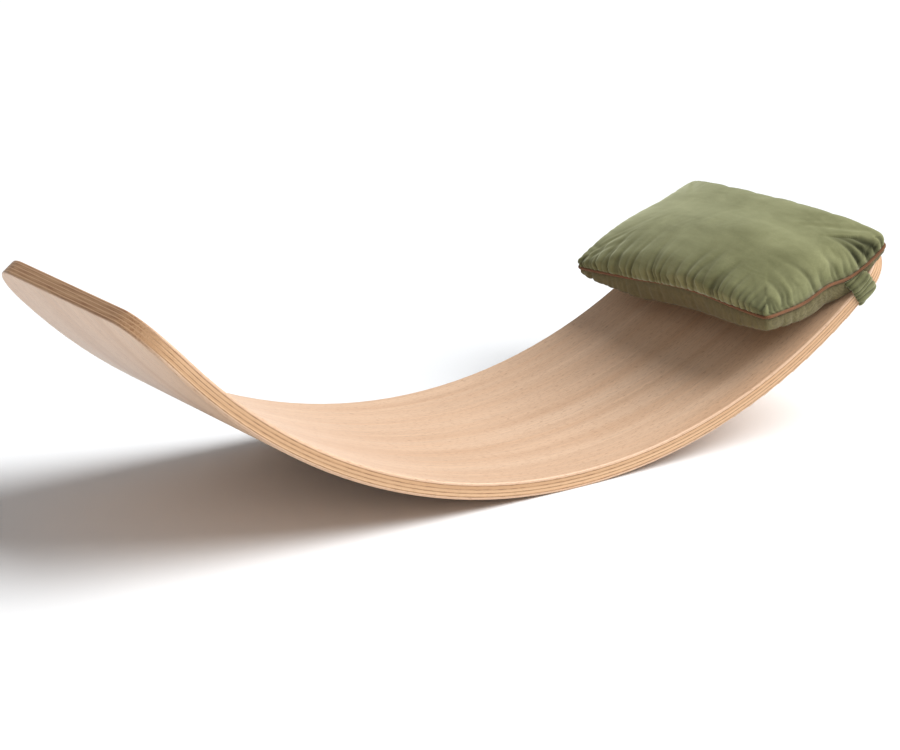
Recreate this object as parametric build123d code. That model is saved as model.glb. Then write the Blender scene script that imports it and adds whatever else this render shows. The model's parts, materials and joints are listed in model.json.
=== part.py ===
from build123d import *
import os
from math import asin, atan2, cos, degrees, hypot, radians, sin, sqrt

# Sizes are in millimetres and angles in degrees.

# Board: a ply sheet bent to an arc and lying with its hollow face up
board_width = 300.0
board_length = 900.0        # straight across, from end to end
inner_radius = 583.0        # of the hollow face
long_veneer = 2.6           # grain along the board
cross_veneer = 0.95         # grain across the board
cross_veneer_count = 4      # each one lies between two long-grain veneers
corner_radius = 54.0
arris_radius = 2.0
lean = 3.9                  # the cushion's weight rolls its own end down by this

# Cushion: a filled pad with a seam all round, strapped over the board near one end
cushion_length = 180.0      # along the board, over the piping
cushion_overhang = 5.0      # past each long edge of the board, over the piping
cushion_rise = 44.0         # crown above the seam
cushion_drop = 38.0         # base below the seam, before the board presses it flat
cushion_from_end = 90.6     # board's end to the cushion's middle, along the hollow face
cushion_height = 34.0       # the seam's middle above the hollow face
cushion_pitch = 15.0        # the cushion lies this much flatter than the board under it
cushion_aside = 6.0         # the cushion's middle lies this far to one side of the board's
cushion_corner = 26.0       # plan radius of the seam's corners
side_fullness = 4.0         # the cushion is this much fuller across than along
rim_half = 3.5              # half the height of the cushion's edge
cover_cloth = 1.2
bag_cloth = 0.6

# Piping: a corded strip with its flange sewn between the two cover panels
piping_radius = 2.0
piping_cord_radius = 1.2
piping_flange = 0.6

# Strap: an elastic webbing in a gathered casing, sewn to both sides of the cushion
strap_from_end = 59.6       # board's end to the strap's middle, along the hollow face
strap_width = 27.0
strap_thickness = 3.2
elastic_width = 20.0
elastic_thickness = 1.2
strap_knee = 3.0            # height above the hollow face at which the strap turns inwards
strap_tuck_height = 21.0    # height at which it enters the seam
strap_tuck_in = 16.0        # how far inside the board's edge it enters the seam
strap_bend = 4.0            # centre-line radius where it turns round the board

# Zip: set into the base panel, on the side where the panel is clear of the board
zip_offset = 45.0           # from the cushion's middle, towards the middle of the board
zip_margin = 67.0           # from each end of the zip to the cushion's side
zip_tape = 7.0
zip_gap = 3.4               # between the tapes, filled by the teeth
tooth_pitch = 3.0
tooth_length = 1.35
tooth_overlap = 0.7         # reach of each tooth past the zip's middle
tooth_proud = 1.4
tooth_root = 0.9            # depth of a tooth below the panel's outer face
stop_length = 3.0

# Zip slider and puller
slider_length = 10.0
slider_wall = 1.0
bridge_width = 1.4
bridge_length = 6.0
bridge_height = 2.6
bridge_bar = 0.8
pin_radius = 0.5
puller_length = 16.0
puller_width = 5.0
puller_thickness = 1.2

# Clearances
seat_gap = 0.4              # cushion to the hollow face
strap_gap = 0.5             # strap to the board's edges and underside
slider_gap = 0.3            # slider to the teeth and tapes
puller_gap = 0.25           # puller to the slider's bridge

# Worked out from the sizes above
thickness = (cross_veneer_count + 1) * long_veneer + cross_veneer_count * cross_veneer
outer_radius = inner_radius + thickness
half_angle = degrees(asin(board_length / 2 / outer_radius))
cushion_angle = half_angle - degrees(cushion_from_end / inner_radius)
strap_angle = half_angle - degrees(strap_from_end / inner_radius)
cushion_width = board_width + 2 * cushion_overhang
zip_length = cushion_width - 2 * zip_margin
arc_centre = Vector(0, 0, outer_radius)
arc_axis = Axis(arc_centre, (0, -1, 0))     # a positive turn moves the low point towards +X
spare = 10.0                                # by which a cutting tool outruns what it cuts


def swept(profile, first, last):
    """Turn a profile, drawn at the arc's low point, from one angle to another."""
    return revolve(profile.rotate(arc_axis, first), arc_axis, last - first)


def curved_slab(inner, outer, width, angle):
    """A bent sheet between two radii, as long as twice the angle."""
    middle = Pos(0, outer_radius - (inner + outer) / 2)
    profile = Plane.YZ * middle * Rectangle(width, outer - inner)
    return swept(profile, -angle, angle)


def seat_space(radius):
    """Everything within a radius of the arc's axis, over the width of the cushion."""
    width = cushion_width + 2 * (abs(cushion_aside) + spare)
    return Pos(arc_centre) * Rot(X=90) * Cylinder(radius, width)


# ---- Board ----

def board_blank():
    blank = curved_slab(inner_radius, outer_radius, board_width, half_angle)
    corners = [e for e in blank.edges()
               if e.geom_type == GeomType.LINE and abs(e.length - thickness) < 0.01]
    return fillet(corners, corner_radius)


def rim_edges(ply, radius):
    """The edges all round one face of a veneer."""
    def away(point):
        return abs(hypot(point.X, point.Z - outer_radius) - radius)
    return [e for e in ply.edges() if max(away(e @ 0), away(e @ 0.5), away(e @ 1)) < 0.05]


def board_veneers():
    """Named veneers from the hollow face outwards, long and cross grain in turn."""
    blank = board_blank()
    count = 2 * cross_veneer_count + 1
    veneers = {}
    inner = inner_radius
    for number in range(count):
        cross = number % 2 == 1
        outer = inner + (cross_veneer if cross else long_veneer)
        slab = curved_slab(inner, outer, board_width + spare, half_angle + 1)
        veneer = blank & slab
        if number == 0:
            name = "top_face_veneer"
            veneer = fillet(rim_edges(veneer, inner_radius), arris_radius)
        elif number == count - 1:
            name = "bottom_face_veneer"
            veneer = fillet(rim_edges(veneer, outer_radius), arris_radius)
        else:
            name = f"{'cross' if cross else 'core'}_veneer_{(number + 1) // 2}"
        veneers[name] = veneer
        inner = outer
    return veneers


# ---- Cushion ----
# Drawn lying flat: X along the board, Y across it, the seam in the XY plane.

def cushion_plane():
    turn = radians(cushion_angle)
    slope = radians(cushion_angle - cushion_pitch)
    radius = inner_radius - cushion_height
    origin = arc_centre + Vector(radius * sin(turn), cushion_aside, -radius * cos(turn))
    return Plane(origin, x_dir=(cos(slope), 0, sin(slope)), z_dir=(-sin(slope), 0, cos(slope)))


cushion_place = cushion_plane().location
half_length = cushion_length / 2 - 2 * piping_radius    # to the panels' edge
half_width = cushion_width / 2 - 2 * piping_radius


def lens(half, rise, drop, rim):
    """A crowned section: half an ellipse above the rim and half of another below."""
    top = EllipticalCenterArc((0, rim), half, rise - rim, start_angle=0, arc_size=180)
    base = EllipticalCenterArc((0, -rim), half, drop - rim, start_angle=180, arc_size=180)
    sides = [Line((-half, rim), (-half, -rim)), Line((half, -rim), (half, rim))]
    return make_face([top, base, *sides])


def outline(inset):
    """The cushion's plan, taken in from the panels' edge."""
    return RectangleRounded(2 * (half_length - inset), 2 * (half_width - inset),
                            cushion_corner - inset)


def pad(inset):
    """The cushion's whole form, taken in by a thickness of cloth, and flat on the board."""
    rim = rim_half - inset
    along = lens(half_length - inset, cushion_rise - inset, cushion_drop - inset, rim)
    across = lens(half_width - inset, cushion_rise + side_fullness - inset,
                  cushion_drop + side_fullness - inset, rim)
    deep = cushion_rise + cushion_drop
    form = extrude(Plane.XZ * along, cushion_width, both=True)
    form &= extrude(Plane.YZ * across, cushion_length, both=True)
    form &= extrude(outline(inset), deep, both=True)
    return cushion_place * form & seat_space(inner_radius - seat_gap - inset)


def half_space(side):
    """A block on one side of the seam, clear of the piping's flange."""
    deep = 2 * (cushion_rise + cushion_drop)
    block = Box(cushion_length + spare, cushion_width + spare, deep)
    return cushion_place * (Pos(0, 0, side * (deep / 2 + piping_flange / 2)) * block)


def piping_tube(radius):
    path = outline(-piping_radius).wire()
    start = Plane(path @ 0, z_dir=path % 0)
    return sweep(start * Circle(radius), path)


def piping_parts():
    cord = piping_tube(piping_cord_radius)
    flange = extrude(outline(-piping_radius) - outline(cover_cloth), piping_flange / 2, both=True)
    cover = piping_tube(piping_radius) + flange - cord
    return {"piping_cover": cushion_place * cover, "piping_cord": cushion_place * cord}


# ---- Strap ----

def strap_band(band_width, band_thickness):
    """A band round the board's underside and edges, with both ends inside the cushion."""
    side = board_width / 2 + strap_gap + strap_thickness / 2
    under = -strap_gap - strap_thickness / 2
    tuck = (board_width / 2 - strap_tuck_in, thickness + strap_tuck_height)
    knee = (side, thickness + strap_knee)
    half = [tuck, knee, (side, under)]
    points = half + [(-y, z) for y, z in reversed(half)]
    path = FilletPolyline(*points, radius=strap_bend)
    band = make_face(offset(path, band_thickness / 2, side=Side.BOTH).edges())
    reach = degrees(band_width / 2 / inner_radius)
    return swept(Plane.YZ * band, strap_angle - reach, strap_angle + reach)


def strap_parts(cushion):
    elastic = strap_band(elastic_width, elastic_thickness)
    casing = strap_band(strap_width, strap_thickness) - elastic
    return {"strap_casing": casing - cushion, "strap_elastic": elastic - cushion}


# ---- Zip ----
# Drawn flat: X across the zip, Y along it, Z out of the base panel.

def zip_plane():
    deep = cushion_drop - rim_half
    share = sqrt(1 - (zip_offset / half_length) ** 2)
    fall = atan2(deep * zip_offset, half_length ** 2 * share)
    origin = (-zip_offset, 0, -rim_half - deep * share)
    return Plane(origin, x_dir=(cos(fall), 0, -sin(fall)), z_dir=(-sin(fall), 0, -cos(fall)))


zip_place = cushion_place * zip_plane().location
zip_width = zip_gap + 2 * zip_tape
roof = tooth_proud + slider_gap                 # underside of the slider's plate
bridge_base = roof + slider_wall
slider_start = zip_length / 2 - stop_length - slider_length / 2 - slider_gap
zip_travel = 2 * slider_start
pin_height = bridge_base + (bridge_height - bridge_bar) / 2


def zip_block(x_from, x_to, y_from, y_to, z_from, z_to):
    size = (x_to - x_from, y_to - y_from, z_to - z_from)
    middle = ((x_from + x_to) / 2, (y_from + y_to) / 2, (z_from + z_to) / 2)
    return Pos(*middle) * Box(*size)


def zip_slot(x_from, x_to):
    deep = 3 * cover_cloth
    return zip_place * zip_block(x_from, x_to, -zip_length / 2, zip_length / 2, -deep, deep)


def zip_teeth(side):
    """One row, reaching from its tape past the middle, between the other row's teeth."""
    run = zip_length - 2 * stop_length - tooth_pitch
    count = int(run / tooth_pitch)
    first = -(count - 1) * tooth_pitch / 2 - side * tooth_pitch / 4
    reach = sorted((side * zip_gap / 2, -side * tooth_overlap))
    teeth = []
    for number in range(count):
        y = first + number * tooth_pitch
        tooth = zip_block(*reach, y - tooth_length / 2, y + tooth_length / 2,
                          -tooth_root, tooth_proud)
        teeth.append(zip_place * tooth)
    return Compound(children=teeth)


def zip_stop(end):
    y = sorted((end * zip_length / 2, end * (zip_length / 2 - stop_length)))
    return zip_place * zip_block(-zip_gap / 2, zip_gap / 2, *y, -tooth_root, tooth_proud)


def slider():
    """A plate over the teeth with a flange down each side and a bridge for the puller."""
    inside = zip_gap / 2 + slider_gap
    ends = (-slider_length / 2, slider_length / 2)
    body = zip_block(-inside - slider_wall, inside + slider_wall, *ends, slider_gap, bridge_base)
    body -= zip_block(-inside, inside, -slider_length, slider_length, 0, roof)
    nose = [e for e in body.edges().filter_by(Axis.Z) if abs(abs(e.center().X) - inside) > 0.5]
    body = fillet(nose, 0.9 * slider_wall)
    arch = zip_block(-bridge_width / 2, bridge_width / 2, -bridge_length / 2,
                     bridge_length / 2, bridge_base, bridge_base + bridge_height)
    window = zip_block(-bridge_width, bridge_width, bridge_bar - bridge_length / 2,
                       bridge_length / 2 - bridge_bar, bridge_base,
                       bridge_base + bridge_height - bridge_bar)
    return zip_place * (Pos(0, slider_start) * (body + (arch - window)))


def puller():
    """A tab on two arms, with a pin through the bridge."""
    arm = puller_width / 2 - bridge_width / 2 - puller_gap
    neck = hypot(bridge_length / 2, bridge_height) + puller_gap
    tab = zip_block(-puller_width / 2, puller_width / 2, -puller_length, pin_radius,
                    -puller_thickness / 2, puller_thickness / 2)
    tab -= zip_block(arm - puller_width / 2, puller_width / 2 - arm, -neck, neck,
                     -puller_thickness, puller_thickness)
    ends = tab.edges().filter_by(Axis.Z).sort_by(Axis.Y)[:2]
    tab = fillet(ends, puller_width / 2.5)
    pin = Rot(Y=90) * Cylinder(pin_radius, puller_width)
    return zip_place * (Pos(0, slider_start, pin_height) * (tab + pin))


def cushion_parts():
    whole, lining = pad(0), pad(cover_cloth)
    filling = pad(cover_cloth + bag_cloth)
    cover = whole - lining
    base = cover & half_space(-1)
    return {
        "cushion_top_panel": cover & half_space(1),
        "cushion_base_panel": base - zip_slot(-zip_width / 2, zip_width / 2),
        "inner_bag": lining - filling,
        "filling": filling,
        "zip_tape_outer": base & zip_slot(zip_gap / 2, zip_width / 2),
        "zip_tape_inner": base & zip_slot(-zip_width / 2, -zip_gap / 2),
        "zip_teeth_outer": zip_teeth(1),
        "zip_teeth_inner": zip_teeth(-1),
        "zip_top_stop": zip_stop(1),
        "zip_bottom_stop": zip_stop(-1),
        "zip_slider": slider(),
        "zip_puller": puller(),
    } | piping_parts() | strap_parts(whole)


def leaned(shape):
    """Roll a piece with the board, about the arc's axis."""
    return shape.rotate(arc_axis, -lean)


os.makedirs("parts", exist_ok=True)
for name, shape in (board_veneers() | cushion_parts()).items():
    export_step(leaned(shape), f"parts/{name}.step")

puller_pin = leaned(zip_place * Pos(0, slider_start, pin_height) * Vertex(0, 0, 0)).center()
print(f"ply thickness {thickness:.2f}, half angle {half_angle:.3f}, arc centre {tuple(arc_centre)}")
print(f"zip travel {zip_travel:.2f}, puller pin {tuple(puller_pin)}")
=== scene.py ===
import json
import math
import bpy
import numpy as np
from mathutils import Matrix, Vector
from mathutils.kdtree import KDTree


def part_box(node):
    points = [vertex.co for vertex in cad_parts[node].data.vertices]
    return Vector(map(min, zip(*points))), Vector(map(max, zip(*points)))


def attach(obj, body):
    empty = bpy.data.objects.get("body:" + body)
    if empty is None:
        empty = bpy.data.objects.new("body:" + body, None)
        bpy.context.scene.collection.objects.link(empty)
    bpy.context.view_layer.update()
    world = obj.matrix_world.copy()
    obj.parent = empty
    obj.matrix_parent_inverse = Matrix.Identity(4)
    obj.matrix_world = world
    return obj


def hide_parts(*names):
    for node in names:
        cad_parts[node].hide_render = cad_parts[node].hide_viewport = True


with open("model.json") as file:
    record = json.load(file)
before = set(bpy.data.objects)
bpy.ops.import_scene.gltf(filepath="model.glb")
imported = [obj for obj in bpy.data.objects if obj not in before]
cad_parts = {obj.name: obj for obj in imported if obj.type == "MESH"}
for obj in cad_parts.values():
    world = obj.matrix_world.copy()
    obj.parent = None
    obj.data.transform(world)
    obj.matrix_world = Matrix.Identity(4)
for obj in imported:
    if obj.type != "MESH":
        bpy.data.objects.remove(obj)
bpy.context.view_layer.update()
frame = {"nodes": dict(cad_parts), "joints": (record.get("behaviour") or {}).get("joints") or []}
scene = bpy.context.scene
mm = 0.001
print("frame loaded")

# the arc that the board is bent to, and the way it leans under the cushion's weight
arcJoint = next(j for j in frame["joints"] if j["name"] == "cushion_slide")
arcHeight = arcJoint["pos_m"][2]
board = {"thickness": 16.8 * mm, "lean": 3.9}
faceRadius = arcHeight - board["thickness"]


# small node helpers, shared by the materials

def newMaterial(name):
    mat = bpy.data.materials.new(name)
    mat.use_nodes = True
    tree = mat.node_tree
    return mat, tree, tree.nodes["Principled BSDF"]


def addNode(tree, kind, inputs=None, **settings):
    node = tree.nodes.new(kind)
    for key, value in settings.items():
        setattr(node, key, value)
    for key, value in (inputs or {}).items():
        if isinstance(value, bpy.types.NodeSocket):
            tree.links.new(value, node.inputs[key])
        else:
            node.inputs[key].default_value = value
    return node


def math2(tree, operation, a, b=0.0):
    return addNode(tree, "ShaderNodeMath", {0: a, 1: b}, operation=operation).outputs[0]


def stretch(tree, vector, scale):
    return addNode(tree, "ShaderNodeVectorMath", {0: vector, 1: scale}, operation="MULTIPLY").outputs[0]


def noise(tree, vector, scale, detail=3.0, rough=0.5, distort=0.0):
    inputs = {"Vector": vector, "Scale": scale, "Detail": detail, "Roughness": rough, "Distortion": distort}
    return addNode(tree, "ShaderNodeTexNoise", inputs).outputs["Fac"]


def ramp(tree, factor, stops):
    node = addNode(tree, "ShaderNodeValToRGB", {"Fac": factor})
    bar = node.color_ramp.elements
    while len(bar) < len(stops):
        bar.new(0.5)
    for element, (place, colour) in zip(bar, stops):
        element.position = place
        element.color = (*colour, 1) if len(colour) == 3 else colour
    return node.outputs["Color"]


def greyRamp(tree, factor, low, high, dark=0.0, light=1.0):
    return ramp(tree, factor, [(low, (dark,) * 3), (high, (light,) * 3)])


def mixColour(tree, factor, a, b, how="MIX"):
    node = addNode(tree, "ShaderNodeMix", {0: factor, 6: a, 7: b}, data_type="RGBA", blend_type=how)
    return node.outputs[2]


def bump(tree, height, strength, distance, normal=None):
    inputs = {"Height": height, "Strength": strength, "Distance": distance}
    if normal is not None:
        inputs["Normal"] = normal
    return addNode(tree, "ShaderNodeBump", inputs).outputs["Normal"]


def plainCoords(tree):
    return addNode(tree, "ShaderNodeTexCoord").outputs["Object"]


# along the bend, across it and down through the plies, as if the board lay flat

def flatCoords(tree):
    place = addNode(tree, "ShaderNodeSeparateXYZ", {0: plainCoords(tree)})
    down = math2(tree, "SUBTRACT", arcHeight, place.outputs["Z"])
    angle = math2(tree, "ARCTAN2", place.outputs["X"], down)
    turned = math2(tree, "ADD", angle, math.radians(board["lean"]))
    along = math2(tree, "MULTIPLY", turned, faceRadius)
    sideways = math2(tree, "POWER", place.outputs["X"], 2.0)
    squared = math2(tree, "ADD", sideways, math2(tree, "POWER", down, 2.0))
    depth = math2(tree, "SUBTRACT", math2(tree, "SQRT", squared), faceRadius)
    joined = addNode(tree, "ShaderNodeCombineXYZ", {0: along, 1: place.outputs["Y"], 2: depth})
    return joined.outputs[0]


# beech plywood

beech = {
    "pale": (0.81, 0.58, 0.41), "deep": (0.71, 0.465, 0.30), "fleck": (0.40, 0.215, 0.115),
    "corePale": (0.80, 0.545, 0.335), "coreDeep": (0.62, 0.375, 0.205),
    "crossPale": (0.56, 0.335, 0.19), "crossDeep": (0.34, 0.18, 0.095),
    "endGrain": (0.52, 0.31, 0.17), "ring": (0.30, 0.135, 0.065), "crossEnd": (0.66, 0.43, 0.26),
    "faceFlecks": 0.55, "coreFlecks": 0.35, "crossFlecks": 0.4,     # how strongly the flecks show
    "gloss": 0.38, "lacquer": 0.10, "lacquerGloss": 0.28, "shine": 0.35,
}


def towardsEnd(tree):
    # 1 where the surface faces along the board, as on its sawn ends, and 0 on its faces and long edges
    place = addNode(tree, "ShaderNodeSeparateXYZ", {0: plainCoords(tree)})
    down = math2(tree, "SUBTRACT", arcHeight, place.outputs["Z"])
    reach = addNode(tree, "ShaderNodeCombineXYZ", {0: down, 2: place.outputs["X"]})
    tangent = addNode(tree, "ShaderNodeVectorMath", {0: reach.outputs[0]}, operation="NORMALIZE")
    facing = addNode(tree, "ShaderNodeTexCoord").outputs["Normal"]
    dot = addNode(tree, "ShaderNodeVectorMath", {0: facing, 1: tangent.outputs[0]}, operation="DOT_PRODUCT")
    return greyRamp(tree, math2(tree, "ABSOLUTE", dot.outputs["Value"]), 0.35, 0.95)


def beechMaterial(name, pale, deep, fleckShare, crossGrain=False):
    mat, tree, shader = newMaterial(name)
    flat = flatCoords(tree)
    if crossGrain:  # the fibres run across the board, so its long edges show their cut ends
        streak = stretch(tree, flat, (95, 6, 420))
        fibre = stretch(tree, flat, (900, 30, 1500))
        fleck = stretch(tree, flat, (1500, 180, 1900))
    else:
        streak = stretch(tree, flat, (1.6, 34, 380))
        fibre = stretch(tree, flat, (7, 330, 900))
        fleck = stretch(tree, flat, (150, 1500, 2200))
    figure = noise(tree, streak, 1.0, 4.0, 0.55, 0.4)
    colour = ramp(tree, figure, [(0.30, deep), (0.62, pale)])
    fine = noise(tree, fibre, 1.0, 3.0, 0.6)
    colour = mixColour(tree, 0.45, colour, greyRamp(tree, fine, 0.30, 0.70, 0.80, 1.10), "MULTIPLY")
    specks = greyRamp(tree, noise(tree, fleck, 1.0, 1.0, 0.4), 0.60, 0.70)
    colour = mixColour(tree, math2(tree, "MULTIPLY", specks, fleckShare), colour, (*beech["fleck"], 1))
    if crossGrain:
        sawn = (*beech["crossEnd"], 1)
    else:
        rings = noise(tree, stretch(tree, flat, (900, 22, 620)), 1.0, 4.0, 0.6, 0.6)
        sawn = ramp(tree, rings, [(0.34, beech["ring"]), (0.60, beech["endGrain"])])
    colour = mixColour(tree, math2(tree, "MULTIPLY", towardsEnd(tree), 0.9), colour, sawn)
    rough = greyRamp(tree, fine, 0.2, 0.8, beech["gloss"] - 0.06, beech["gloss"] + 0.08)
    tree.links.new(colour, shader.inputs["Base Color"])
    tree.links.new(rough, shader.inputs["Roughness"])
    normal = bump(tree, fine, 0.10, 0.10 * mm)
    tree.links.new(bump(tree, specks, 0.12, -0.08 * mm, normal), shader.inputs["Normal"])
    shader.inputs["Coat Weight"].default_value = beech["lacquer"]
    shader.inputs["Specular IOR Level"].default_value = beech["shine"]
    shader.inputs["Coat Roughness"].default_value = beech["lacquerGloss"]
    return mat


def dress(node, mat):
    mesh = frame["nodes"][node].data
    mesh.materials.clear()
    mesh.materials.append(mat)


def finishBoard():
    face = beechMaterial("beechFace", beech["pale"], beech["deep"], beech["faceFlecks"])
    core = beechMaterial("beechCore", beech["corePale"], beech["coreDeep"], beech["coreFlecks"])
    cross = beechMaterial("beechCross", beech["crossPale"], beech["crossDeep"], beech["crossFlecks"],
                          crossGrain=True)
    for node in frame["nodes"]:
        if node.endswith("face_veneer"):
            dress(node, face)
        elif node.startswith("core_veneer"):
            dress(node, core)
        elif node.startswith("cross_veneer"):
            dress(node, cross)


finishBoard()
print("board dressed")


# the cushion's own axes: along the board, across it, and up from the seam

def cushionAxes():
    low, high = (Vector(corner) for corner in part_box("piping_cover"))
    centre = (low + high) / 2
    tube = 4.0 * mm
    slope = math.atan2(high.z - low.z - tube, high.x - low.x - tube)
    along = Vector((math.cos(slope), 0, math.sin(slope)))
    up = Vector((-math.sin(slope), 0, math.cos(slope)))
    return np.array(centre), np.array(along), np.array((0.0, 1.0, 0.0)), np.array(up)


seamCentre, alongAxis, acrossAxis, upAxis = cushionAxes()


def toFrame(points):
    p = np.asarray(points, dtype=float)
    return seamCentre + p[..., :1] * alongAxis + p[..., 1:2] * acrossAxis + p[..., 2:3] * upAxis


def toCushion(points):
    d = np.asarray(points, dtype=float) - seamCentre
    return np.stack([d @ alongAxis, d @ acrossAxis, d @ upAxis], -1)


def aboveFace(points):
    p = np.asarray(points, dtype=float)
    return faceRadius - np.hypot(p[..., 0], p[..., 2] - arcHeight)


def smoothNoise(values, seed):
    # value noise along a line, the same on each run
    rng = np.random.RandomState(seed)
    table = rng.uniform(-1, 1, 512)
    cell = np.floor(values).astype(int)
    part = values - cell
    part = part * part * (3 - 2 * part)
    return table[cell % 512] * (1 - part) + table[(cell + 1) % 512] * part


def meshPiece(name, points, faces, mat):
    mesh = bpy.data.meshes.new(name)
    mesh.from_pydata([tuple(p) for p in points], [], [tuple(int(i) for i in f) for f in faces])
    mesh.validate()
    mesh.materials.append(mat)
    mesh.polygons.foreach_set("use_smooth", [True] * len(mesh.polygons))
    piece = bpy.data.objects.new(name, mesh)
    bpy.context.collection.objects.link(piece)
    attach(piece, "cushion")
    return piece


def pointsOf(piece):
    flat = np.empty(len(piece.data.vertices) * 3)
    piece.data.vertices.foreach_get("co", flat)
    return flat.reshape(-1, 3)


def setPoints(piece, points):
    piece.data.vertices.foreach_set("co", np.asarray(points).ravel())
    piece.data.update()


# cushion

cushion = {
    "innerEdge": [(-88, 160, -9), (-86, 112, -6), (-84.5, 62, -2), (-84, 13, 4), (-84, -35, 8),
                  (-85, -73, 8), (-86, -110, 7.5), (-86, -153, 7)],
    "nearEdge": [(-86, -153, 7), (-36, -151, -5), (0, -150, -5), (26, -151, -11), (52, -152, -10),
                 (86, -153, -2.5)],
    "outerEdge": [(86, -153, -2.5), (84, -90, 0), (83, 0, 1), (84, 90, 0), (87, 155, -2)],
    "farEdge": [(87, 155, -2), (50, 152, -8), (24, 151, -9), (-30, 152, -5), (-88, 160, -9)],
    "across": 108, "along": 64,         # meshes of the cloth grid
    "crowding": 0.45,                   # how much closer they lie at the seam
    "crown": 36.0, "tilt": 0.14, "base": 33.0,
    "steepness": {"inner": 0.34, "outer": 0.22, "ends": 0.22, "baseInner": 0.12, "baseOuter": 0.19,
                  "baseNear": 0.19, "baseFar": 0.5},
    "bulge": {"inner": 6.0, "near": 2.0, "outer": 5.0, "far": 5.0},
    "pressure": 3.4, "frames": 20, "slack": 0.007, "cap": 8.0,
    "cornerRounding": 8, "boardGap": 0.7, "cloth": 0.9,
    "endSquareness": 2.6,
    "sideBlend": 2.5,                   # how fast one side's curve gives way to the other's
    "bagInset": 9.0, "fillingInset": 11.0,
    # the twill colours are darker and browner than the cloth alone: painted shade and the warm light
    # bounced from the wood are painted into them
    "twill": ((0.24, 0.205, 0.095), (0.125, 0.102, 0.044), 1300),   # light, dark, threads in a metre
    "bagCloth": ((0.80, 0.78, 0.72), (0.66, 0.63, 0.56), 900),
    "fibre": ((0.88, 0.87, 0.84), (0.74, 0.72, 0.68), 200),
}


def throughPoints(points, count):
    # a smooth line through a few chosen points
    p = np.array(points, dtype=float)
    ext = np.vstack([2 * p[0] - p[1], p, 2 * p[-1] - p[-2]])
    out = []
    for t in np.linspace(0, len(p) - 1, count):
        k = min(int(t), len(p) - 2)
        f = t - k
        a, b, c, d = ext[k], ext[k + 1], ext[k + 2], ext[k + 3]
        out.append(0.5 * (2 * b + (c - a) * f + (2 * a - 5 * b + 4 * c - d) * f ** 2
                          + (3 * b - a - 3 * c + d) * f ** 3))
    return evenSteps(np.array(out), count)


def evenSteps(line, count):
    step = np.linalg.norm(np.diff(line, axis=0), axis=1)
    run = np.concatenate([[0], np.cumsum(step)])
    want = np.linspace(0, run[-1], count)
    return np.stack([np.interp(want, run, line[:, k]) for k in range(3)], -1)


def seamLine():
    # closed ring in grid order: inner edge, near edge, outer edge, far edge
    nv, nu = cushion["across"], cushion["along"]
    edges = [throughPoints(cushion["innerEdge"], nv + 1), throughPoints(cushion["nearEdge"], nu + 1),
             throughPoints(cushion["outerEdge"], nv + 1), throughPoints(cushion["farEdge"], nu + 1)]
    ring = np.vstack([e[:-1] for e in edges]) * mm
    for _ in range(cushion["cornerRounding"]):
        ring = 0.5 * ring + 0.25 * (np.roll(ring, 1, 0) + np.roll(ring, -1, 0))
    return ring


def crowded(count):
    # even steps, drawn closer together at both ends
    t = np.linspace(-1, 1, count + 1)
    return t + cushion["crowding"] * np.sin(math.pi * t) / math.pi


def seamSheet(ring):
    # fill the ring with a grid that keeps to its four sides
    nv, nu = cushion["across"], cushion["along"]
    inner = ring[:nv + 1]
    near = ring[nv:nv + nu + 1]
    outer = ring[nv + nu:2 * nv + nu + 1][::-1]
    far = np.vstack([ring[2 * nv + nu:], ring[:1]])[::-1]
    a = np.linspace(0, 1, nu + 1)[:, None, None]      # from the inner edge to the outer
    b = np.linspace(0, 1, nv + 1)[None, :, None]      # from the far edge to the near
    ruledA = (1 - a) * inner[None] + a * outer[None]
    ruledB = (1 - b) * far[:, None] + b * near[:, None]
    corners = ((1 - a) * (1 - b) * inner[0] + (1 - a) * b * inner[-1]
               + a * (1 - b) * outer[0] + a * b * outer[-1])
    return ruledA + ruledB - corners


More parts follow.
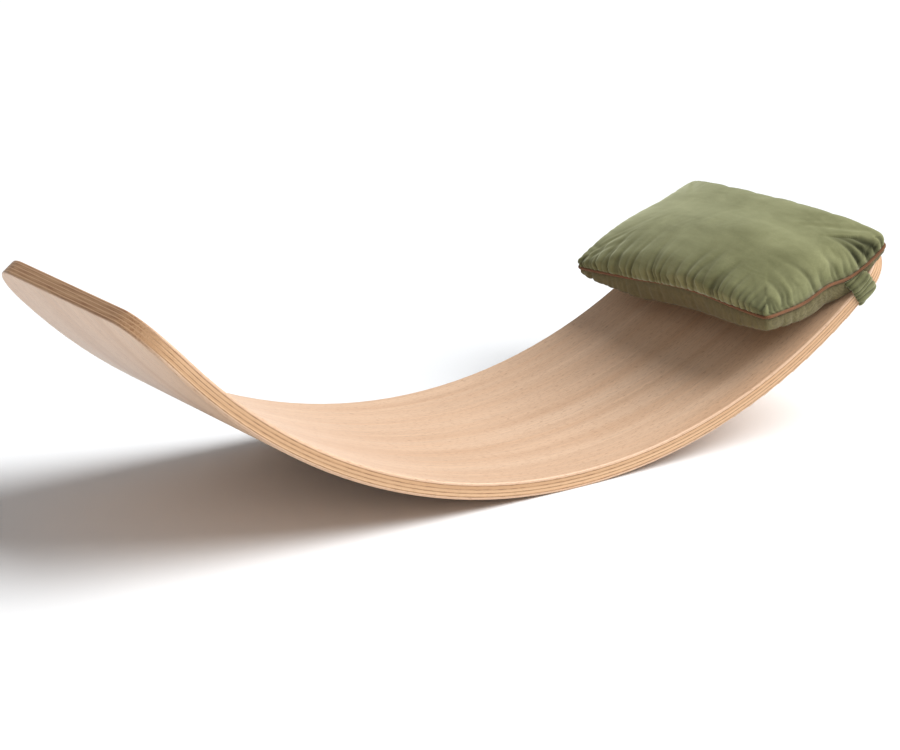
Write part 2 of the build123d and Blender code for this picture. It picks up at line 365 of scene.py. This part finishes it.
def pillowMesh(mats):
    ring = seamLine()
    nv, nu = cushion["across"], cushion["along"]
    sheet = seamSheet(ring)
    a = crowded(nu)[:, None] + 0 * crowded(nv)[None, :]
    b = 0 * a + crowded(nv)[None, :]
    x = np.clip(1 - a ** 2, 0, 1)
    y = np.clip(1 - np.abs(b) ** cushion["endSquareness"], 0, 1)
    gentle = 0.5 - 0.5 * np.tanh(cushion["sideBlend"] * a)      # 1 on the inner side, 0 on the outer
    steep = cushion["steepness"]
    rise = x ** (steep["outer"] + (steep["inner"] - steep["outer"]) * gentle) * y ** steep["ends"]
    atFar = 0.5 - 0.5 * np.tanh(cushion["sideBlend"] * b)       # 1 on the far side, 0 on the near
    hang = (x ** (steep["baseOuter"] + (steep["baseInner"] - steep["baseOuter"]) * gentle)
            * y ** (steep["baseNear"] + (steep["baseFar"] - steep["baseNear"]) * atFar))
    bulge = cushion["bulge"]
    push = np.zeros_like(sheet)
    push[..., 0] = np.where(a > 0, bulge["outer"], bulge["inner"]) * a * np.abs(a) ** 3
    push[..., 1] = -np.where(b > 0, bulge["near"], bulge["far"]) * b * np.abs(b) ** 5
    top, base = sheet.copy(), sheet.copy()
    crown = cushion["crown"] * (1 + cushion["tilt"] * b)
    for panelPoints, share, height in ((top, rise, crown), (base, hang, -cushion["base"])):
        panelPoints += push * (4 * share * (1 - share) * mm)[..., None]
        panelPoints[..., 2] += share * height * mm
    count = (nu + 1) * (nv + 1)
    index = np.arange(count).reshape(nu + 1, nv + 1)
    border = np.zeros_like(index, dtype=bool)
    border[[0, -1], :] = True
    border[:, [0, -1]] = True
    below = index.copy()
    below[~border] = count + np.arange((~border).sum())
    points = np.vstack([top.reshape(-1, 3), base[~border]])
    quad = lambda g: np.stack([g[:-1, :-1], g[1:, :-1], g[1:, 1:], g[:-1, 1:]], -1).reshape(-1, 4)
    topFaces, baseFaces = quad(index)[:, ::-1], quad(below)
    piece = meshPiece("pillow", toFrame(points), np.vstack([topFaces, baseFaces]), mats[0])
    piece.data.materials.append(mats[1])
    side = np.repeat([0, 1], [len(topFaces), len(baseFaces)])
    piece.data.polygons.foreach_set("material_index", side)
    return piece, index[border]


def restOnBoard(points, gap):
    # push whatever would sink into the hollow face back out to it
    p = points.copy()
    radius = np.hypot(p[:, 0], p[:, 2] - arcHeight)
    limit = faceRadius - gap
    scale = np.where(radius > limit, limit / radius, 1.0)
    p[:, 0] *= scale
    p[:, 2] = arcHeight + (p[:, 2] - arcHeight) * scale
    return p


def appliedMesh(piece):
    bpy.context.view_layer.update()
    depsgraph = bpy.context.evaluated_depsgraph_get()
    return bpy.data.meshes.new_from_object(piece.evaluated_get(depsgraph))


def blowUp(piece, pinned):
    start = pointsOf(piece)
    group = piece.vertex_groups.new(name="seam")
    group.add([int(i) for i in pinned], 1.0, "REPLACE")
    cloth = piece.modifiers.new("cloth", "CLOTH")
    s = cloth.settings
    s.quality = 6
    s.mass = 0.2
    s.tension_stiffness = s.compression_stiffness = 12
    s.shear_stiffness = 5
    s.bending_stiffness = 0.05
    s.use_pressure = True
    s.uniform_pressure_force = cushion["pressure"]
    s.vertex_group_mass = "seam"
    s.shrink_min = s.shrink_max = -cushion["slack"]
    s.effector_weights.gravity = 0
    s.air_damping = 4
    for f in range(1, cushion["frames"] + 1):
        scene.frame_set(f)
    done = appliedMesh(piece)
    piece.modifiers.remove(cloth)
    flat = np.empty(len(done.vertices) * 3)
    done.vertices.foreach_get("co", flat)
    bpy.data.meshes.remove(done)
    moved = flat.reshape(-1, 3) - start
    reach = np.linalg.norm(moved, axis=1)
    print("cloth moved up to %.1f mm, %.1f mm on average" % (reach.max() / mm, reach.mean() / mm))
    cap = cushion["cap"] * mm
    moved *= (np.tanh(reach / cap) * cap / np.maximum(reach, 1e-9))[:, None]
    piece.vertex_groups.remove(group)
    scene.frame_set(1)
    setPoints(piece, start + moved)


def subdivide(piece, pinned):
    # one finer level, with the seam kept as a sharp line
    mesh = piece.data
    onSeam = set(int(i) for i in pinned)
    crease = mesh.attributes.new("crease_edge", "FLOAT", "EDGE")
    values = [float(e.vertices[0] in onSeam and e.vertices[1] in onSeam) for e in mesh.edges]
    crease.data.foreach_set("value", values)
    finer = piece.modifiers.new("finer", "SUBSURF")
    finer.levels = 1
    done = appliedMesh(piece)
    piece.modifiers.remove(finer)
    piece.data = done


# the fold values set the painted shade in the creases: its darkest factor and the crease depth, in
# millimetres, where that is reached
velvet = {"nap": (0.22, 0.222, 0.11), "brushed": (0.33, 0.332, 0.18), "paintedShadeInFolds": 0.27, "fullFold": 4.0,
          "sheen": 0.75, "sheenSpread": 0.38, "sheenTint": (0.86, 0.88, 0.66), "strapShade": 0.85}


def creasePaintedShade(tree, darkest):
    # painted shade darkens the colour where the cloth is drawn into creases, together with the nap closing
    # up there
    depth = addNode(tree, "ShaderNodeAttribute", attribute_name="fold").outputs["Fac"]
    return greyRamp(tree, math2(tree, "DIVIDE", depth, velvet["fullFold"]), 0.08, 0.85, 1.0, darkest)


def velvetMaterial(name="velvet", shade=1.0):
    mat, tree, shader = newMaterial(name)
    coords = plainCoords(tree)
    patches = noise(tree, coords, 17.0, 5.0, 0.62, 0.5)
    strokes = noise(tree, stretch(tree, coords, (60, 14, 60)), 1.0, 3.0, 0.6, 0.8)
    fine = noise(tree, coords, 900.0, 2.0, 0.6)
    dark = tuple(c * shade for c in velvet["nap"])
    light = tuple(c * shade for c in velvet["brushed"])
    nap = math2(tree, "ADD", math2(tree, "MULTIPLY", patches, 0.6), math2(tree, "MULTIPLY", strokes, 0.4))
    colour = ramp(tree, nap, [(0.36, dark), (0.66, light)])
    colour = mixColour(tree, 0.35, colour, greyRamp(tree, fine, 0.3, 0.7, 0.8, 1.15), "MULTIPLY")
    # painted shade in the gathers and in the strap's grooves
    colour = mixColour(tree, 1.0, colour, creasePaintedShade(tree, velvet["paintedShadeInFolds"]), "MULTIPLY")
    tree.links.new(colour, shader.inputs["Base Color"])
    shader.inputs["Roughness"].default_value = 0.85
    shader.inputs["Specular IOR Level"].default_value = 0.12
    shader.inputs["Sheen Weight"].default_value = velvet["sheen"]
    shader.inputs["Sheen Roughness"].default_value = velvet["sheenSpread"]
    shader.inputs["Sheen Tint"].default_value = (*velvet["sheenTint"], 1)
    tree.links.new(bump(tree, fine, 0.25, 0.15 * mm), shader.inputs["Normal"])
    return mat


def weaveMaterial(name, light, dark, threads, rough=0.85, depth=0.12):
    # over-and-under threads from two crossed waves
    mat, tree, shader = newMaterial(name)
    coords = plainCoords(tree)
    split = addNode(tree, "ShaderNodeSeparateXYZ", {0: coords})
    lengthwise = math2(tree, "ADD", split.outputs["X"], split.outputs["Z"])
    u = math2(tree, "MULTIPLY", lengthwise, threads * math.tau)
    v = math2(tree, "MULTIPLY", split.outputs["Y"], threads * math.tau)
    twill = math2(tree, "SINE", math2(tree, "ADD", u, v))
    cross = math2(tree, "SINE", v)
    diagonal = math2(tree, "MULTIPLY", twill, 0.35)
    woven = math2(tree, "ADD", diagonal, math2(tree, "MULTIPLY", cross, 0.15))
    slub = noise(tree, coords, 180.0, 4.0, 0.65)
    height = math2(tree, "ADD", math2(tree, "ADD", woven, 0.5), math2(tree, "SUBTRACT", slub, 0.5))
    colour = ramp(tree, height, [(0.15, dark), (0.85, light)])
    worn = noise(tree, coords, 30.0, 3.0)
    colour = mixColour(tree, 0.4, colour, greyRamp(tree, worn, 0.3, 0.7, 0.8, 1.15), "MULTIPLY")
    tree.links.new(colour, shader.inputs["Base Color"])
    shader.inputs["Roughness"].default_value = rough
    shader.inputs["Sheen Weight"].default_value = 0.15
    tree.links.new(bump(tree, height, 0.5, depth * mm), shader.inputs["Normal"])
    return mat


gathers = {
    "spacing": 8.0, "depth": 3.9, "width": 1.6, "length": 21.0, "seed": 4, "deepest": 5.6, "onBase": 0.45,
    "sides": (1.0, 0.75, 0.06, 0.12),    # inner, near, outer and far side
    "cornerReach": 40.0, "cornerBoost": 1.35,
    "depths": (0.3, 1), "widths": (0.8, 1.4), "lengths": (0.5, 1.5),    # shares of the values above
    "steps": (0.6, 1.45), "slants": (-0.3, 0.3),
    "widening": 0.055, "fading": 1.6, "stitches": 2.2,      # widening and fading away from the seam
    "puff": 1.3, "puffReach": 16, "puffStart": 3.0,         # the cloth stands up a little beside the seam
    # single deep folds: seam place (along, across), depth, width, length, slant
    "deep": [(74, -153, 5.6, 2.8, 34, -0.35), (62, -152, 5.4, 2.4, 38, -0.25),
             (48, -152, 4.0, 2.2, 30, -0.1), (-66, -152, 2.2, 2.4, 20, 0.3),
             (-86, -142, 2.6, 2.4, 22, -0.2), (-86, 140, 2.4, 2.6, 24, 0.2)],
}


def seamRun(ring):
    # a fine closed line, with the length run along it in millimetres
    fine = evenSteps(np.vstack([ring, ring[:1]]), 2400)[:-1]
    step = np.linalg.norm(fine[1] - fine[0])
    return fine, np.arange(len(fine)) * step / mm


def nearestOn(line, points):
    tree = KDTree(len(line))
    for i, p in enumerate(line):
        tree.insert(p, i)
    tree.balance()
    found = [tree.find(p) for p in points]
    return np.array([f[1] for f in found]), np.array([f[2] for f in found])


def gatherSeam(points, normals, ring, panelSign):
    # cloth drawn up along the seam: narrow creases that start at the stitches and die out
    fine, run = seamRun(ring)
    around = run[-1] + run[1]
    index, away = nearestOn(fine, points)
    away = away / mm
    place = run[index]
    rng = np.random.RandomState(gathers["seed"] + panelSign)
    corners = [cushion[edge][0] for edge in ("innerEdge", "nearEdge", "outerEdge", "farEdge")]
    cornerRun = run[nearestOn(fine, toFrame(np.array(corners) * mm))[0]]
    cornerRun[0] = 0
    creases = []
    at = 0.0
    while at < around:
        toCorner = np.abs((at - cornerRun + around / 2) % around - around / 2).min()
        boost = 1 + (gathers["cornerBoost"] - 1) * math.exp(-toCorner / gathers["cornerReach"])
        share = gathers["sides"][np.searchsorted(cornerRun[1:], at)]
        depth = gathers["depth"] * rng.uniform(*gathers["depths"]) * boost * share
        width = gathers["width"] * rng.uniform(*gathers["widths"])
        length = gathers["length"] * rng.uniform(*gathers["lengths"]) * boost
        creases.append((at, depth, width, length, rng.uniform(*gathers["slants"])))
        at += gathers["spacing"] * rng.uniform(*gathers["steps"])
    if panelSign > 0:
        for along, across, depth, width, length, slant in gathers["deep"]:
            spot = toFrame(np.array([(along, across, 0)]) * mm)
            creases.append((run[nearestOn(fine, spot)[0][0]], depth, width, length, slant))
    sink = np.zeros(len(points))
    for at, depth, width, length, slant in creases:
        off = (place - at - slant * away + around / 2) % around - around / 2
        wide = width + gathers["widening"] * away
        sink += depth * np.exp(-(off / wide) ** 2) * np.exp(-(away / length) ** gathers["fading"])
    deepest = gathers["deepest"]
    sink *= gathers["onBase"] if panelSign == 0 else 1.0
    sink = deepest * np.tanh(sink / deepest) * (1 - np.exp(-(away / gathers["stitches"]) ** 2))
    rising = 1 - np.exp(-(away / gathers["puffStart"]) ** 2)
    puff = gathers["puff"] * np.exp(-away / gathers["puffReach"]) * rising
    return points + normals * ((puff - sink) * mm)[:, None], sink


def vertexNormals(piece):
    flat = np.empty(len(piece.data.vertices) * 3)
    piece.data.vertices.foreach_get("normal", flat)
    return flat.reshape(-1, 3)


# the base panel runs flat under the zip's tapes

zipBed = {"below": 1.3, "margin": 9.0, "stations": 12, "stationReach": 2.5, "edge": 1.5}


def layUnderZip(points):
    tapes = [frame["nodes"][node] for node in ("zip_tape_outer", "zip_tape_inner")]
    tape = np.vstack([toCushion(pointsOf(one)) for one in tapes]) / mm
    places = np.linspace(tape[:, 0].min() + 1, tape[:, 0].max() - 1, zipBed["stations"])
    low = [tape[np.abs(tape[:, 0] - u) < zipBed["stationReach"], 2].min() for u in places]
    curve = np.polyfit(places, low, 2)
    local = toCushion(points) / mm
    middle = (tape.min(0) + tape.max(0)) / 2
    half = (tape.max(0) - tape.min(0)) / 2
    outside = np.maximum(np.abs(local - middle) - half - zipBed["edge"], 0)[:, :2]
    blend = np.clip(1 - np.hypot(*outside.T) / zipBed["margin"], 0, 1)
    blend = blend * blend * (3 - 2 * blend)
    target = np.polyval(curve, local[:, 0]) + zipBed["below"]
    local[:, 2] += (target - local[:, 2]) * blend
    return toFrame(local * mm)


def panel(name, pillow, side, mat, fold):
    faces = [tuple(p.vertices) for p in pillow.data.polygons if p.material_index == side]
    used = sorted({i for f in faces for i in f})
    renumber = {old: new for new, old in enumerate(used)}
    piece = meshPiece(name, pointsOf(pillow)[used], [[renumber[i] for i in f] for f in faces], mat)
    # the velvet turns this crease depth into painted shade
    depth = piece.data.attributes.new("fold", "FLOAT", "POINT")   # how far each point is drawn in
    depth.data.foreach_set("value", fold[used])
    shell = piece.modifiers.new("cloth", "SOLIDIFY")
    shell.thickness = cushion["cloth"] * mm
    shell.offset = -1
    return piece


def makeCushion():
    velvetMat = velvetMaterial()
    twillMat = weaveMaterial("twill", *cushion["twill"])
    pillow, pinned = pillowMesh((velvetMat, twillMat))
    blowUp(pillow, pinned)
    subdivide(pillow, pinned)
    ring = toFrame(seamLine())
    points, normals = pointsOf(pillow), vertexNormals(pillow)
    onBase = np.zeros(len(points), dtype=bool)
    for face in pillow.data.polygons:
        if face.material_index == 1:
            onBase[list(face.vertices)] = True
    onTop = ~onBase
    smooth = restOnBoard(points, cushion["boardGap"] * mm)
    fold = np.zeros(len(points))
    points[onTop], fold[onTop] = gatherSeam(points[onTop], normals[onTop], ring, 1)
    under, fold[onBase] = gatherSeam(smooth[onBase], normals[onBase], ring, 0)
    points[onBase] = layUnderZip(under)
    points = restOnBoard(points, cushion["boardGap"] * mm)
    setPoints(pillow, points)
    top = panel("cushionTopPanel", pillow, 0, velvetMat, fold)
    base = panel("cushionBasePanel", pillow, 1, twillMat, fold)
    for piece, node, finish in ((top, "cushion_top_panel", "velvet"),
                                (base, "cushion_base_panel", "twill")):
        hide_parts(node)
    bagMat = weaveMaterial("bagCloth", *cushion["bagCloth"])
    fillMat = weaveMaterial("fibreFill", *cushion["fibre"], depth=0.5)
    insides = (("innerBag", "inner_bag", "bag_cloth", cushion["bagInset"], bagMat),
               ("fibreFilling", "filling", "filling", cushion["fillingInset"], fillMat))
    for name, node, finish, inset, mat in insides:
        piece = meshPiece(name, smooth, [tuple(p.vertices) for p in pillow.data.polygons], mat)
        local = toCushion(smooth)
        shrink = 1 - inset * mm / (np.ptp(local, axis=0) / 2)
        setPoints(piece, toFrame(local * shrink))
        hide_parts(node)
    bpy.data.objects.remove(pillow)
    return ring


def tube(name, ring, radius, mat, sides=10, twist=0.0):
    tangent = np.roll(ring, -1, 0) - np.roll(ring, 1, 0)
    tangent /= np.linalg.norm(tangent, axis=1)[:, None]
    out = np.cross(tangent, upAxis)
    out /= np.linalg.norm(out, axis=1)[:, None]
    up = np.cross(out, tangent)
    n = len(ring)
    angle = np.linspace(0, math.tau, sides, endpoint=False)
    size = radius * mm * (1 + twist * np.sin(3 * angle[None] + np.arange(n)[:, None] * 0.9))
    points = (ring[:, None] + out[:, None] * (np.cos(angle) * size)[..., None]
              + up[:, None] * (np.sin(angle) * size)[..., None]).reshape(-1, 3)
    grid = np.arange(n * sides).reshape(n, sides)
    turned, ahead = np.roll(grid, -1, 1), np.roll(grid, -1, 0)
    faces = np.stack([grid, turned, np.roll(ahead, -1, 1), ahead], -1).reshape(-1, 4)
    return meshPiece(name, points, faces, mat)


piping = {
    "radius": 1.7, "cordRadius": 1.0, "outset": {"inner": -1.6, "others": 0.8},
    "cover": ((0.29, 0.13, 0.055), (0.16, 0.07, 0.028), 900),
    "cord": ((0.80, 0.76, 0.66), (0.62, 0.57, 0.47), 1200), "cordSides": 9, "cordTwist": 0.12,
}


def makePiping(ring):
    centre = ring.mean(0)
    outward = ring - centre
    outward -= (outward @ upAxis)[:, None] * upAxis
    outward /= np.linalg.norm(outward, axis=1)[:, None]
    inner = np.clip(-(outward @ alongAxis) * 4 - 2, 0, 1)[:, None]
    outset = piping["outset"]
    path = ring + outward * (outset["inner"] * inner + outset["others"] * (1 - inner)) * mm
    coverMat = weaveMaterial("pipingCloth", *piping["cover"])
    cordMat = weaveMaterial("cottonCord", *piping["cord"])
    cover = tube("pipingCover", path, piping["radius"], coverMat)
    cord = tube("pipingCord", path, piping["cordRadius"], cordMat, piping["cordSides"], piping["cordTwist"])
    for piece, node, finish in ((cover, "piping_cover", "piping"), (cord, "piping_cord", "bag_cloth")):
        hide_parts(node)


seamRing = makeCushion()
makePiping(seamRing)
print("cushion made")


# strap: a gathered casing round the board, sewn into both side seams

strap = {
    "gap": 0.6, "ply": 3.2, "webFrom": 0.8, "webTo": 2.0,      # heights off the board
    "ruche": 5.2, "proud": 1.6, "scallop": 1.1, "groove": 2.4, "sharpness": 0.8,
    "drift": 0.35, "driftLength": 11.0, "driftSeed": 21, "rowShift": 0.7, "rowDrift": 0.12,
    "steps": 460, "rows": 17, "smoothing": 6,
    "seamDepth": 2.0, "bend": 3.5, "stand": (0.8, 5), "hang": (1.0, 2.5), "under": 100,
    "web": ((0.80, 0.78, 0.72), (0.55, 0.53, 0.48), 700),
}


def polarSpan(node):
    place = pointsOf(frame["nodes"][node])
    angle = np.arctan2(place[:, 0], arcHeight - place[:, 2])
    return angle.min(), angle.max()


def strapLine(ring, angle):
    # from one seam, down over the board's edge, under it and up to the other seam: across and height
    side = max(corner[1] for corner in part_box("top_face_veneer")) / mm + strap["gap"]
    under = board["thickness"] / mm + strap["gap"]
    local = toCushion(ring) / mm
    radial = np.array((math.sin(angle), 0, -math.cos(angle)))
    along = toCushion((np.array((0, 0, arcHeight)) + radial * faceRadius)[None])[0, 0] / mm
    ends = []
    for face in (-1, 1):
        run = local[(local[:, 1] * face > 100) & (np.abs(local[:, 0]) < 75)]
        run = run[run[:, 0].argsort()]
        across = np.interp(along, run[:, 0], run[:, 1]) - face * strap["seamDepth"]
        height = np.interp(along, run[:, 0], run[:, 2]) - strap["seamDepth"]
        top = toFrame(np.array((along, across, height)) * mm)
        ends.append((top[1] / mm, aboveFace(top) / mm))
    (y0, h0), (y1, h1) = ends
    bend, flat = strap["bend"], strap["under"]
    (standOut, standUp), (hangOut, hangDown) = strap["stand"], strap["hang"]
    path = np.array([(y0, h0), (y0 - hangOut, h0 - hangDown), (-side - standOut, standUp), (-side, 0),
                     (-side, bend - under), (bend - side, -under), (-flat, -under), (0, -under),
                     (flat, -under), (side - bend, -under), (side, bend - under), (side, 0),
                     (side + standOut, standUp), (y1 + hangOut, h1 - hangDown), (y1, h1)])
    seg = np.linalg.norm(np.diff(path, axis=0), axis=1)
    run = np.concatenate([[0], np.cumsum(seg)])
    want = np.linspace(0, run[-1], strap["steps"])
    y, h = np.interp(want, run, path[:, 0]), np.interp(want, run, path[:, 1])
    for _ in range(strap["smoothing"]):
        y[1:-1] = 0.5 * y[1:-1] + 0.25 * (y[:-2] + y[2:])
        h[1:-1] = 0.5 * h[1:-1] + 0.25 * (h[:-2] + h[2:])
    return want, y, h


def strapBand(name, node, mat, ring, inner, outer, gathered):
    # a closed band between two heights off the board, ruched where it is the casing
    first, last = polarSpan(node)
    middle, half = (first + last) / 2, (last - first) / 2
    under, over, groove = [], [], []
    for q in np.linspace(-1, 1, strap["rows"]):
        want, y, h = strapLine(ring, middle + q * half)
        dy, dh = np.gradient(y), np.gradient(h)
        size = np.hypot(dy, dh)
        ny, nh = dh / size, -dy / size
        wander = smoothNoise(want / strap["driftLength"] + q * strap["rowShift"], strap["driftSeed"])
        drift = strap["drift"] * wander + strap["rowDrift"] * q
        ridge = np.abs(np.sin(math.pi * (want / strap["ruche"] + drift))) ** strap["sharpness"]
        groove.append(strap["groove"] * gathered * (1 - ridge))
        dim = (1 - 0.6 * abs(q) ** 6) if gathered else 1.0
        thick = outer + gathered * strap["proud"] * (ridge - 0.5)
        scallop = gathered * strap["scallop"] * (ridge - 0.6) * abs(q) ** 3 * mm / faceRadius
        turn = middle + q * (half + scallop)
        for offset, store in ((np.full_like(y, inner), under), (inner + (thick - inner) * dim, over)):
            yy, radius = (y + ny * offset) * mm, faceRadius - (h + nh * offset) * mm
            store.append(np.stack([radius * np.sin(turn), yy, arcHeight - radius * np.cos(turn)], -1))
    loop = np.concatenate([np.array(over), np.array(under)[::-1]], 0)
    k, m = loop.shape[:2]
    grid = np.arange(k * m).reshape(k, m)
    ahead = np.roll(grid, -1, 0)
    faces = np.stack([grid[:, :-1], ahead[:, :-1], ahead[:, 1:], grid[:, 1:]], -1).reshape(-1, 4)
    ends = [tuple(grid[:, 0]), tuple(grid[:, -1][::-1])]
    piece = meshPiece(name, loop.reshape(-1, 3), [*faces.tolist(), *ends], mat)
    # the velvet turns this groove depth into painted shade
    depth = piece.data.attributes.new("fold", "FLOAT", "POINT")
    depth.data.foreach_set("value", np.concatenate([np.ravel(groove), np.zeros(k * m // 2)]))
    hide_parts(node)


def makeStrap(ring):
    webMat = weaveMaterial("elasticWeb", *strap["web"])
    casingMat = velvetMaterial("strapVelvet", velvet["strapShade"])
    strapBand("strapCasing", "strap_casing", casingMat, ring, 0.0, strap["ply"], 1.0)
    strapBand("strapElastic", "strap_elastic", webMat, ring, strap["webFrom"], strap["webTo"], 0.0)


makeStrap(seamRing)
print("strap made")


# zip

zipFinish = {
    "tape": ((0.25, 0.27, 0.16), (0.15, 0.165, 0.09), 1500),
    "teeth": ((0.22, 0.24, 0.14), (0.15, 0.165, 0.09), 300),
    "brassDark": (0.30, 0.24, 0.14), "brassLight": (0.50, 0.42, 0.26),
}


def metalMaterial():
    mat, tree, shader = newMaterial("zipBrass")
    coords = plainCoords(tree)
    wear = noise(tree, coords, 500.0, 4.0, 0.6)
    colour = ramp(tree, wear, [(0.3, zipFinish["brassDark"]), (0.7, zipFinish["brassLight"])])
    tree.links.new(colour, shader.inputs["Base Color"])
    shader.inputs["Metallic"].default_value = 1.0
    tree.links.new(greyRamp(tree, wear, 0.3, 0.7, 0.28, 0.5), shader.inputs["Roughness"])
    tree.links.new(bump(tree, wear, 0.15, 0.05 * mm), shader.inputs["Normal"])
    return mat


tapeMat = weaveMaterial("zipTape", *zipFinish["tape"])
toothMat = weaveMaterial("zipTeeth", *zipFinish["teeth"], rough=0.45)
brassMat = metalMaterial()
for node in frame["nodes"]:
    if node.startswith("zip_tape"):
        dress(node, tapeMat)
    elif node.startswith("zip_teeth"):
        dress(node, toothMat)
    elif node.startswith("zip_"):
        dress(node, brassMat)
print("zip dressed")


# camera, light and floor

camera = {
    "azimuth": -35.41, "elevation": 17.34, "distance": 2.616, "aim": (-0.0483, 0, 0.0851),
    "lens": 105.05, "sensor": 36, "farthest": 50,
}
lighting = {
    "sun": 3.75, "softness": 50.0, "from": (0.56, -0.36, 0.745), "gamma": 0.9,
    "sky": 0.35, "skyColour": (0.96, 0.98, 1), "floorColour": (0.89, 0.9, 0.912), "floorReach": 15.0,
}


def placeCamera():
    a, e = math.radians(camera["azimuth"]), math.radians(camera["elevation"])
    back = Vector((math.sin(a) * math.cos(e), -math.cos(a) * math.cos(e), math.sin(e)))
    data = bpy.data.cameras.new("camera")
    data.lens = camera["lens"]
    data.sensor_width = camera["sensor"]
    data.clip_end = camera["farthest"]
    eye = bpy.data.objects.new("camera", data)
    eye.location = Vector(camera["aim"]) + back * camera["distance"]
    eye.rotation_mode = "QUATERNION"
    eye.rotation_quaternion = (-back).to_track_quat("-Z", "Y")
    bpy.context.collection.objects.link(eye)
    scene.camera = eye


def sunLight():
    data = bpy.data.lights.new("softSun", "SUN")
    data.energy = lighting["sun"]
    data.angle = math.radians(lighting["softness"])
    lamp = bpy.data.objects.new("softSun", data)
    lamp.rotation_mode = "QUATERNION"
    lamp.rotation_quaternion = Vector(lighting["from"]).to_track_quat("Z", "Y")
    bpy.context.collection.objects.link(lamp)


def makeStudio():
    scene.view_settings.view_transform = "Standard"
    scene.view_settings.gamma = lighting["gamma"]
    world = bpy.data.worlds.new("studio")
    scene.world = world
    world.use_nodes = True
    sky = world.node_tree.nodes["Background"]
    sky.inputs["Color"].default_value = (*lighting["skyColour"], 1)
    sky.inputs["Strength"].default_value = lighting["sky"]
    sunLight()
    mat, _, shader = newMaterial("paleFloor")
    shader.inputs["Base Color"].default_value = (*lighting["floorColour"], 1)
    shader.inputs["Roughness"].default_value = 0.9
    mesh = bpy.data.meshes.new("studioFloor")
    far = lighting["floorReach"]
    corners = [(-far, -far, 0), (far, -far, 0), (far, far, 0), (-far, far, 0)]
    mesh.from_pydata(corners, [], [(0, 1, 2, 3)])
    mesh.materials.append(mat)
    floor = bpy.data.objects.new("studioFloor", mesh)
    bpy.context.collection.objects.link(floor)


placeCamera()
makeStudio()
print("studio ready")
